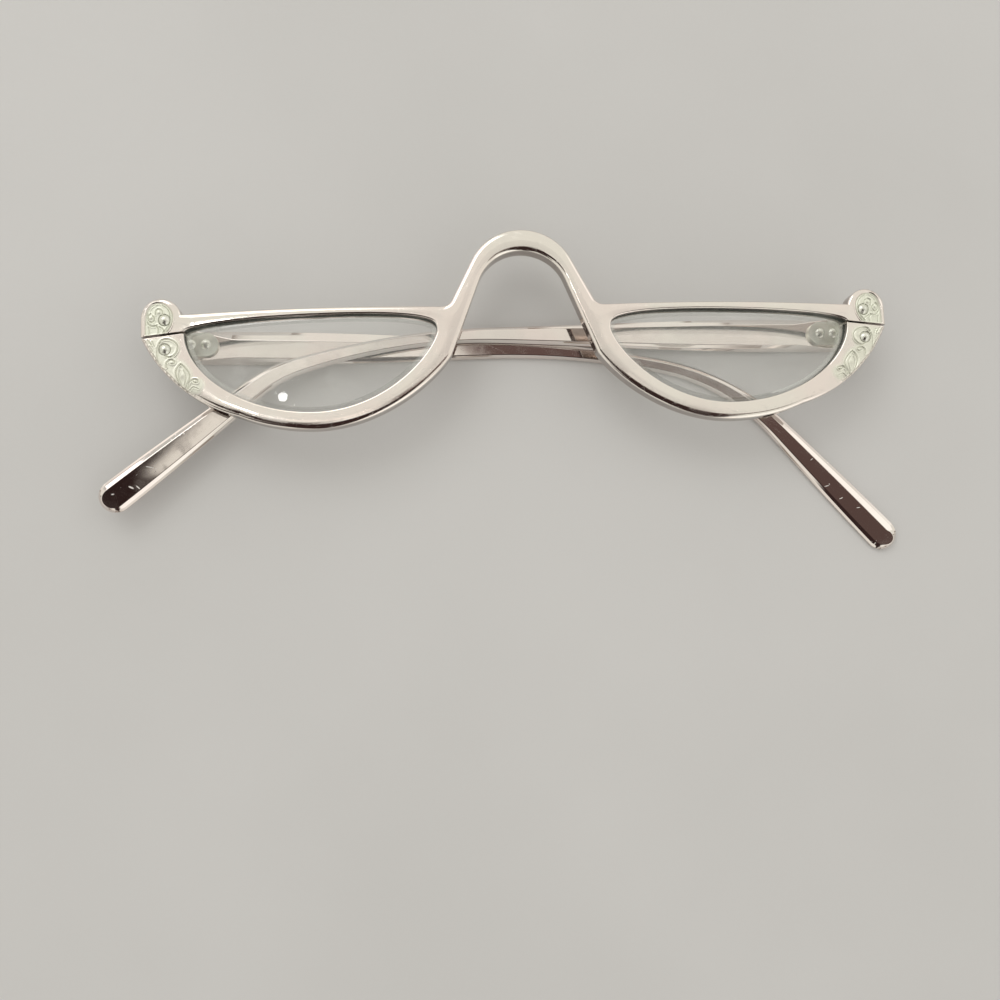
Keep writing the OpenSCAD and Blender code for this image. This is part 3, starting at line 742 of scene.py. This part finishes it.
def temple_shape(side):
    """Points, faces, corner normals and marks of a temple in its folded place.

    Its rows run out along the upper edge, round the tip and back along the lower edge."""
    start, end = BUTT_CLEAR - AXIS_BACK, TIP_S - TIP_H / 2 - TIP_IN
    stations = np.concatenate([[start, start + BUTT_BREAK], np.linspace(-1.5, THIN_AT, 60),
                               np.linspace(THIN_AT, end, 150)[1:]])
    path = [(s, 0) for s in stations] + [(end, turn) for turn in range(3, 180, 3)] \
        + [(s, 180) for s in stations[::-1]]
    rows, marks = [], {"along": [], "across": [], "edge": [], "painted_dark_face": []}
    for s, turn in path:
        m, a = walk(max(s, 0), side)
        if s < 0:
            m, a = m + s * np.array([1, 0]), 0
        along, across, up, ridge = temple_row(s, turn, side)
        if s == start:
            across, up = (1 - BUTT_IN) * across, mix(up, up.mean(), BUTT_THIN)
        marks["along"] += list((s + along) * MM)
        marks["across"] += list((across + (RIGHT_MARKS if side == RIGHT else 0)) * MM)
        marks["edge"] += list(ridge)
        # The last point of each half-section lies on the main face, which gets a painted dark
        # reflection near the tip
        marks["painted_dark_face"] += [0] * (len(ridge) - 1) + [1]
        rows.append(np.c_[HINGE_X - m[0] - along * cos(a) - across * sin(a),
                          HINGE_Y + m[1] - along * sin(a) + across * cos(a), up])
    grid = np.array(rows)

    # The normal of a flat holds up to its edges and turns within the fillets only
    per, (count, n, _) = len(BENDS), grid.shape
    way = np.gradient(grid, axis=0)
    flats = np.cross(way[:, per - 1:-1:per], grid[:, per::per] - grid[:, per - 1:-1:per])
    last = len(stations)
    face = np.cross(grid[:last, -1] - grid[:-last - 1:-1, -1], way[:last, -1])
    face = np.vstack([face, np.tile(face[-1], (count - 2 * last, 1)), face[::-1]])
    back = np.tile([0.0, 0.0, -1.0], (count, 1))
    around = unit(np.concatenate([back[:, None], flats, face[:, None]], axis=1))
    normals = np.stack([mix(around[:, :-1], around[:, 1:], k) for k in BENDS], axis=2)
    normals = unit(normals.reshape(grid.shape))

    if side == RIGHT:
        axis = np.array([HINGE_X, 0, AXIS_Z])
        fold = np.array(Matrix.Rotation(FOLD_OVER, 3, "Y"))
        grid, normals = (grid - axis) @ fold.T + axis, normals @ fold.T
    grid, normals = grid * [side, 1, 1], normals.reshape(-1, 3) * [side, 1, 1]

    # Faces round the edge, then those of the main face and the back, and the butt
    faces = [[i * n + j, (i + 1) * n + j, (i + 1) * n + j + 1, i * n + j + 1]
             for i in range(count - 1) for j in range(n - 1)]
    for j in (n - 1, 0):
        flat = [[i, i + 1, count - 2 - i, count - 1 - i] for i in range(last - 1)]
        flat.append(list(range(last - 1, count - last + 1)))
        faces += [[i * n + j for i in (face if j else face[::-1])] for face in flat]
    faces.append(list(range(n)) + [(count - 1) * n + j for j in range(n)][::-1])
    if side == LEFT:
        faces = [face[::-1] for face in faces]
    corners = [normals[i] for face in faces[:-1] for i in face] + [(0, 0, 0)] * len(faces[-1])
    return grid.reshape(-1, 3), faces, np.array(corners, float), marks


# Materials

class Nodes:
    """Short ways to add the nodes of a material or world."""

    def __init__(self, owner, shader="Principled BSDF"):
        owner.use_nodes = True
        self.owner, self.tree = owner, owner.node_tree
        self.shader = self.tree.nodes[shader]
        self.places = self.add("TexCoord").outputs

    def put(self, value, socket):
        if isinstance(value, bpy.types.NodeSocket):
            self.tree.links.new(value, socket)
        else:
            socket.default_value = value

    def add(self, kind, inputs=(), **settings):
        """A node, with what its inputs get, by name or number."""
        node = self.tree.nodes.new("ShaderNode" + kind)
        for key, value in settings.items():
            setattr(node, key, value)
        for key, value in dict(inputs).items():
            self.put(value, node.inputs[key])
        return node

    def math(self, operation, a, b=0.0):
        return self.add("Math", {0: a, 1: b}, operation=operation).outputs[0]

    def chain(self, operation, values):
        out = values[0]
        for value in values[1:]:
            out = self.math(operation, out, value)
        return out

    def most(self, values):
        return self.chain("MAXIMUM", values)

    def times(self, *values):
        return self.chain("MULTIPLY", values)

    def minus(self, a, b):
        return self.math("SUBTRACT", a, b)

    def total(self, value, *parts):
        """The value plus shares of others, each as (value, share)."""
        for part, share in parts:
            value = self.math("ADD", value, self.times(part, share))
        return value

    def blend(self, share, a, b):
        a, b = (v if isinstance(v, bpy.types.NodeSocket) else (*v, 1) for v in (a, b))
        return self.add("Mix", {0: share, 6: a, 7: b}, data_type="RGBA").outputs[2]

    def layers(self, colour, *layers):
        """The colour with others over it, each as (where, share, colour)."""
        for where, share, over in layers:
            colour = self.blend(self.times(where, share), colour, over)
        return colour

    def ranged(self, value, low, high, to_low=0.0, to_high=1.0):
        inputs = enumerate((value, low, high, to_low, to_high))
        return self.add("MapRange", inputs, interpolation_type="SMOOTHSTEP").outputs[0]

    def noise(self, size, detail, turn=0, shift=0, source=None, roughness=0.5):
        """Noise as coarse as size, a length or three of them in mm, turned by degrees about Z."""
        size = (size,) * 3 if isinstance(size, (int, float)) else size
        source = source or self.places["Object"]
        turned = self.add("VectorRotate", {"Vector": source, "Angle": math.radians(turn)},
                          rotation_type="Z_AXIS").outputs[0]
        where = self.add("Mapping", {
            "Vector": turned, "Location": (shift, 1.7 * shift, 0.6 * shift),
            "Scale": [1 / (v * MM) for v in size]}).outputs[0]
        return self.add("TexNoise", {"Vector": where, "Scale": 1, "Detail": detail,
                                     "Roughness": roughness}).outputs[0]

    def attribute(self, name):
        return self.add("Attribute", attribute_name=name).outputs["Fac"]

    def scratches(self, turn, length, width, thin, shift, share, source=None):
        """Hair lines that run one way: where a long-drawn noise crosses its middle value."""
        drawn = self.noise((length, width, width), 1, turn, shift, source)
        line = self.ranged(self.math("ABSOLUTE", self.minus(drawn, 0.5)), 0.0, thin, 1.0, 0.0)
        patches = (0.7 * length, 2.5 * width, 2.5 * width)
        where = self.noise(patches, 1, turn, shift + 5, source)
        return self.times(line, self.ranged(where, 1 - share, 1.08 - share))

    def round_distance(self, a, b, wide_a, wide_b, turn):
        """Distance of (a, b) from the middle of an ellipse turned by degrees, 1 at its edge."""
        c, s = cos(turn), sin(turn)
        across = self.total(self.times(a, c), (b, s))
        along = self.total(self.times(b, c), (a, -s))
        squares = [self.math("POWER", self.math("ABSOLUTE", self.math("DIVIDE", v, wide)), 2.0)
                   for v, wide in ((across, wide_a), (along, wide_b))]
        return self.math("SQRT", self.math("ADD", *squares))

    def dent(self, along, across, s, c, long, wide, turn):
        """A worn spot at s along a temple and c across it, in mm, its length turned by degrees."""
        a, b = self.minus(along, s * MM), self.minus(across, c * MM)
        far = self.round_distance(a, b, long * MM, wide * MM, turn)
        return self.ranged(far, 0.7, 1.0, 1.0, 0.0)

    def finish(self, colour, rough, height, depth, **constants):
        """Fills the shader, with a bump whose height of 1 stands for depth mm."""
        bump = self.add("Bump", {"Strength": 1, "Distance": depth * MM, "Height": height})
        inputs = {"Base Color": colour, "Roughness": rough, "Normal": bump.outputs[0], **constants}
        for key, value in inputs.items():
            self.put(value, self.shader.inputs[key.replace("_", " ")])
        return self.owner


def surface(name):
    return Nodes(bpy.data.materials.new(name))


def front_metal():
    """Polished plate with a warm cast, duller and greener in the carved fields, with painted shade
    on its walls and back.
    """
    n = surface("front_metal")
    field, dark, edge, painted_wall_shade = (n.attribute(k) for k in ("field", "dark", "edge", "painted_wall_shade"))
    cloud = n.noise(14, 3)
    smudge = n.ranged(n.noise(5, 4, 20, 3), 0.45, 0.7)
    grain = n.noise(0.16, 3, 0, 9)
    hairs = n.most([n.scratches(turn, 5, 0.35, 0.012, shift, share) for turn, shift, share in
                    ((12, 0, 0.45), (-38, 7, 0.4), (71, 13, 0.38), (100, 21, 0.4))])
    plate = n.blend(n.ranged(cloud, 0.35, 0.65), (0.86, 0.775, 0.735), (0.84, 0.8, 0.745))
    matt = n.blend(n.ranged(grain, 0.3, 0.7), (0.8, 0.82, 0.71), (0.93, 0.94, 0.83))
    # Painted shade for the walls and the back, darkest where the mark is full
    shade = n.blend(n.ranged(painted_wall_shade, 0.75, 1.0), (0.32, 0.27, 0.25), (0.15, 0.135, 0.125))
    colour = n.layers(plate, (smudge, 0.3, (0.78, 0.74, 0.7)), (field, 1, matt),
                      (dark, 0.42, (0.3, 0.31, 0.24)), (edge, 0.25, (0.93, 0.89, 0.85)),
                      (hairs, 0.35, (0.95, 0.93, 0.9)), (painted_wall_shade, 1, shade))
    rough = n.total(n.ranged(smudge, 0, 1, 0.09, 0.18), (field, 0.3), (hairs, 0.08), (dark, 0.15))
    ripple = n.times(n.noise(2.2, 1, 0, 2), 0.2)
    height = n.total(ripple, (n.times(grain, field), 1.6), (hairs, -0.35))
    return n.finish(colour, rough, height, 0.01, Metallic=1.0)


def temple_metal():
    """Polished plate, more rubbed than the front, with scratches that thicken towards the tips, and
    a painted dark reflection on the main face near them.
    """
    n = surface("temple_metal")
    along, across, edge, painted_dark_face = (n.attribute(k) for k in ("along", "across", "edge", "painted_dark_face"))
    lengthwise = n.add("CombineXYZ", {0: along, 1: across}).outputs[0]
    tip = n.ranged(along, 0.096, 0.128)
    cloud = n.noise(11, 3, 0, 4)
    smudge = n.ranged(n.noise(4, 4, 30, 8), 0.42, 0.7)
    fine = n.most([n.scratches(turn, 7, 0.3, 0.008, shift, 0.36, lengthwise)
                   for turn, shift in ((2, 3), (-5, 11), (24, 17))])
    heavy = n.most([n.scratches(turn, 2.0, 0.4, 0.008, shift, 0.24, lengthwise)
                    for turn, shift in ((8, 31), (-33, 37), (60, 41))])
    nicks = n.ranged(n.noise(0.45, 1, 0, 51, lengthwise), 0.77, 0.8)
    heavy = n.most([n.times(n.math("MAXIMUM", heavy, nicks), tip),
                    *(n.dent(along, across, *where) for where in DENTS)])
    plate = n.blend(n.ranged(cloud, 0.35, 0.65), (0.83, 0.735, 0.7), (0.81, 0.76, 0.715))
    # The main face near the tips gets a painted dark reflection
    colour = n.layers(plate, (smudge, 0.35, (0.7, 0.64, 0.61)),
                      (n.times(tip, painted_dark_face), 0.62, (0.42, 0.37, 0.34)),
                      (edge, 0.3, (0.92, 0.87, 0.83)), (fine, 0.2, (0.9, 0.87, 0.84)),
                      (heavy, 1, (0.95, 0.92, 0.9)))
    rough = n.total(n.ranged(smudge, 0, 1, 0.045, 0.1), (fine, 0.06), (heavy, 0.45))
    ripple = n.times(n.noise(3.5, 1, 0, 6), 0.15)
    height = n.total(ripple, (fine, -0.06), (heavy, -0.3))
    return n.finish(colour, rough, height, 0.01, Metallic=1.0)


def dull_metal(name, low, high, rough, shift):
    """Nickel silver or steel of the small fittings, cloudy and finely grained."""
    n = surface(name)
    cloud = n.noise(1.1, 4, 0, shift)
    grain = n.noise((1.2, 0.05, 0.05), 2, 20, shift)
    hairs = n.most([n.scratches(turn, 1.6, 0.12, 0.03, shift + turn, 0.45)
                    for turn in (10, 55, 120)])
    colour = n.blend(n.ranged(cloud, 0.3, 0.7), low, high)
    colour = n.layers(colour, (hairs, 0.4, (0.92, 0.92, 0.88)))
    rough = n.total(n.ranged(cloud, 0.3, 0.7, rough, rough + 0.14), (hairs, 0.12))
    height = n.total(cloud, (grain, 0.4), (hairs, -1))
    return n.finish(colour, rough, height, 0.004, Metallic=1.0)


def lens_glass():
    """Clear glass with a grey-green veil, finger marks, dust, hair scratches and a ground edge.

    Its alpha dims its reflections too, which the high IOR makes up for."""
    n = surface("lens_glass")
    edge = n.attribute("edge")
    marks = n.ranged(n.noise(6, 5, 35, 2, roughness=0.6), 0.52, 0.75)
    dust = n.ranged(n.noise(0.35, 1, 0, 12), 0.75, 0.8)
    hairs = n.most([n.scratches(turn, 6, 0.5, 0.005, turn, 0.35) for turn in (15, 80, 140)])
    spots = n.math("MAXIMUM", dust, hairs)
    colour = n.layers(n.blend(marks, (0.7, 0.735, 0.68), (0.82, 0.84, 0.8)),
                      (spots, 1, (0.95, 0.95, 0.93)), (edge, 1, (0.5, 0.54, 0.47)))
    alpha = n.total(n.ranged(marks, 0, 1, 0.1, 0.16), (spots, 0.25), (edge, 0.2))
    rough = n.total(n.ranged(marks, 0, 1, 0.02, 0.06), (edge, 0.15))
    return n.finish(colour, rough, n.times(spots, 0.5), 0.002, Metallic=0.0, IOR=3.0,
                    Specular_IOR_Level=1.0, Alpha=alpha)


def floor_paint():
    """Pale matt paint, a little cloudy."""
    n = surface("floor_paint")
    cloud = n.noise(90, 4)
    speck = n.noise(0.8, 3, 0, 3)
    colour = n.blend(n.ranged(cloud, 0.3, 0.7), (0.62, 0.61, 0.592), (0.655, 0.645, 0.628))
    rough = n.ranged(speck, 0.3, 0.7, 0.55, 0.7)
    return n.finish(colour, rough, speck, 0.01, Metallic=0.0)


FRONT_METAL, TEMPLE_METAL, LENS_GLASS = front_metal(), temple_metal(), lens_glass()
# What the small fittings are made of, by a word in their names
FITTINGS = {"leaf": dull_metal("hinge_metal", (0.84, 0.86, 0.78), (0.94, 0.95, 0.87), 0.3, 3),
            "rivet": dull_metal("rivet_metal", (0.7, 0.71, 0.64), (0.86, 0.86, 0.79), 0.2, 11),
            "screw": dull_metal("screw_steel", (0.55, 0.54, 0.51), (0.72, 0.71, 0.68), 0.25, 19)}

# Pieces

points, faces, normals, marks = front_shape()
front = build_mesh("front_body", points, faces, "front", FRONT_METAL, marks, normals)
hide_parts("front_frame")
for side, word, body in ((LEFT, "left", "left_arm"), (RIGHT, "right", "right_arm")):
    points, faces, marks = lens_shape(side)
    glass = build_mesh(word + "_lens_glass", points, faces, "front",
                       LENS_GLASS, marks)
    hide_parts(word + "_lens")
    points, faces, normals, marks = temple_shape(side)
    arm = build_mesh(word + "_temple_arm", points, faces, body,
                     TEMPLE_METAL, marks, normals)
    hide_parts(word + "_temple")

for name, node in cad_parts.items():
    for word, metal in FITTINGS.items():
        if word in name:
            node.data.materials.clear()
            node.data.materials.append(metal)

# Floor

FLOOR_REACH = 3.0
floor_mesh = bpy.data.meshes.new("floor")
floor_mesh.from_pydata([(x * FLOOR_REACH, y * FLOOR_REACH, cad_box[0].z)
                        for x, y in ((-1, -1), (1, -1), (1, 1), (-1, 1))], [], [(0, 1, 2, 3)])
floor_mesh.materials.append(floor_paint())
floor = add_object("floor", floor_mesh)

# Light and camera. The metal shows a pale sky, with a dark shape and a dim bar in it. A place in
# the sky is the (x / z, y / z) of the way there, or an azimuth and a height in degrees.

PALE, HAZE, BRIGHT = (0.88, 0.86, 0.785), (0.3, 0.26, 0.22), (1.2, 1.16, 1.06)
# Lighter and darker spots: azimuth, height, width and softness, and a colour
SKY_SPOTS = [((30, 36, 11, 6), (1.2, 1.17, 1.1)), ((30, 8, 12, 6), (0.8, 0.78, 0.72)),
             ((-56, 38, 14, 8), (1.2, 1.17, 1.1)), ((131, 4, 12, 4), (1.15, 1.1, 1.02)),
             ((131, 31, 14, 4), (0.62, 0.6, 0.56))]
DARK, DIM = (0.035, 0.02, 0.018), (0.13, 0.085, 0.075)


def studio_world():
    world = bpy.data.worlds.new("studio")
    bpy.context.scene.world = world
    n = Nodes(world, "Background")
    towards = n.places["Generated"]
    x, y, z = n.add("SeparateXYZ", {0: towards}).outputs
    up = n.math("MAXIMUM", z, 0.05)
    u, v = n.math("DIVIDE", x, up), n.math("DIVIDE", y, up)

    def patch(at_u, at_v, wide_u, wide_v, soft, turn=0.0):
        """1 within an ellipse turned by degrees, with a soft edge."""
        far = n.round_distance(n.minus(u, at_u), n.minus(v, at_v), wide_u, wide_v, turn)
        return n.ranged(far, 1 - soft, 1 + soft, 1.0, 0.0)

    def spot(azimuth, height, wide, soft):
        """1 within wide degrees of a direction, 0 from soft degrees further on."""
        way = (cos(height) * cos(azimuth), cos(height) * sin(azimuth), sin(height))
        near = n.add("VectorMath", {0: towards, 1: way}, operation="DOT_PRODUCT")
        return n.ranged(near.outputs["Value"], cos(wide + soft), cos(wide))

    # The dark shape reaches down to the horizon, with a slanted side
    from_left, from_right = n.ranged(u, -0.46, -0.36), n.ranged(u, 0.3, 0.4, 1.0, 0.0)
    shape = n.times(from_left, from_right, n.ranged(v, 0.028, 0.036, 1.0, 0.0))
    slant = n.total(n.times(n.minus(v, 0.0458), 0.696), (n.minus(u, -0.1133), -0.718))
    slant = n.times(n.ranged(slant, -0.005, 0.0035), n.ranged(v, 0.09, 0.11, 1.0, 0.0))
    shape = n.times(n.most([shape, n.times(slant, from_left)]), n.ranged(z, 0.04, 0.1))
    shape = n.most([shape, spot(-124, 42, 10, 4)])
    bar = patch(0.28, -0.005, 0.3, 0.06, 0.12, -26)
    halo = n.times(patch(-0.05, 0.05, 0.3, 0.12, 0.3), n.ranged(z, 0.6, 0.8))
    sky = n.blend(n.ranged(z, 0.02, n.ranged(y, -0.3, 0.3, 0.26, 0.1)), HAZE, PALE)
    sky = n.layers(sky, *((spot(*where), 1, colour) for where, colour in SKY_SPOTS),
                   (patch(0.12, 0.12, 0.17, 0.15, 0.5), 0.4, (0.45, 0.42, 0.4)),
                   (halo, 0.65, BRIGHT), (shape, 1, DARK), (bar, 1, DIM))

    # The floor takes a calmer light, and the camera sees a plain backdrop
    rays = n.add("LightPath").outputs
    sky = n.blend(rays["Is Glossy Ray"], n.blend(0.5, sky, (0.86, 0.85, 0.84)), sky)
    n.put(n.blend(rays["Is Camera Ray"], sky, (0.64, 0.63, 0.61)), n.shader.inputs["Color"])
    n.shader.inputs["Strength"].default_value = 1.0


def shine(name, place, size, radiance, shape):
    """An area lamp in metres, turned to the glasses, that shines with a given radiance."""
    data = bpy.data.lights.new(name, "AREA")
    data.shape = shape
    data.size, data.size_y = size
    spread = size[0] * size[1] * (1 if shape == "RECTANGLE" else math.pi / 4)
    data.energy = radiance * math.pi * spread
    thing = add_object(name, data)
    thing.location = place
    thing.rotation_euler = (-Vector(place)).to_track_quat("-Z", "Y").to_euler()


studio_world()
shine("soft_box", (-0.5, 0.8, 0.9), (0.9, 0.7), 1.3, "RECTANGLE")
shine("ceiling_spot", (-0.2545, 0.1897, 1.2), (0.032, 0.032), 14, "DISK")

CAMERA_AT = (-0.02005, -0.04534, 0.1813)
CAMERA_RIGHT = Vector((0.99599, -0.03951, 0.08033))
CAMERA_UP = Vector((0.03145, 0.99457, 0.09918))
camera = add_object("camera", bpy.data.cameras.new("camera"))
camera.data.lens, camera.data.sensor_width = 36, 36
camera.data.clip_start, camera.data.clip_end = 0.01, 20
back = CAMERA_RIGHT.cross(CAMERA_UP).normalized()
turned = Matrix((CAMERA_RIGHT.normalized(), back.cross(CAMERA_RIGHT).normalized(), back))
camera.matrix_world = Matrix.Translation(CAMERA_AT) @ turned.transposed().to_4x4()
bpy.context.scene.camera = camera
bpy.context.scene.view_settings.view_transform = "Standard"
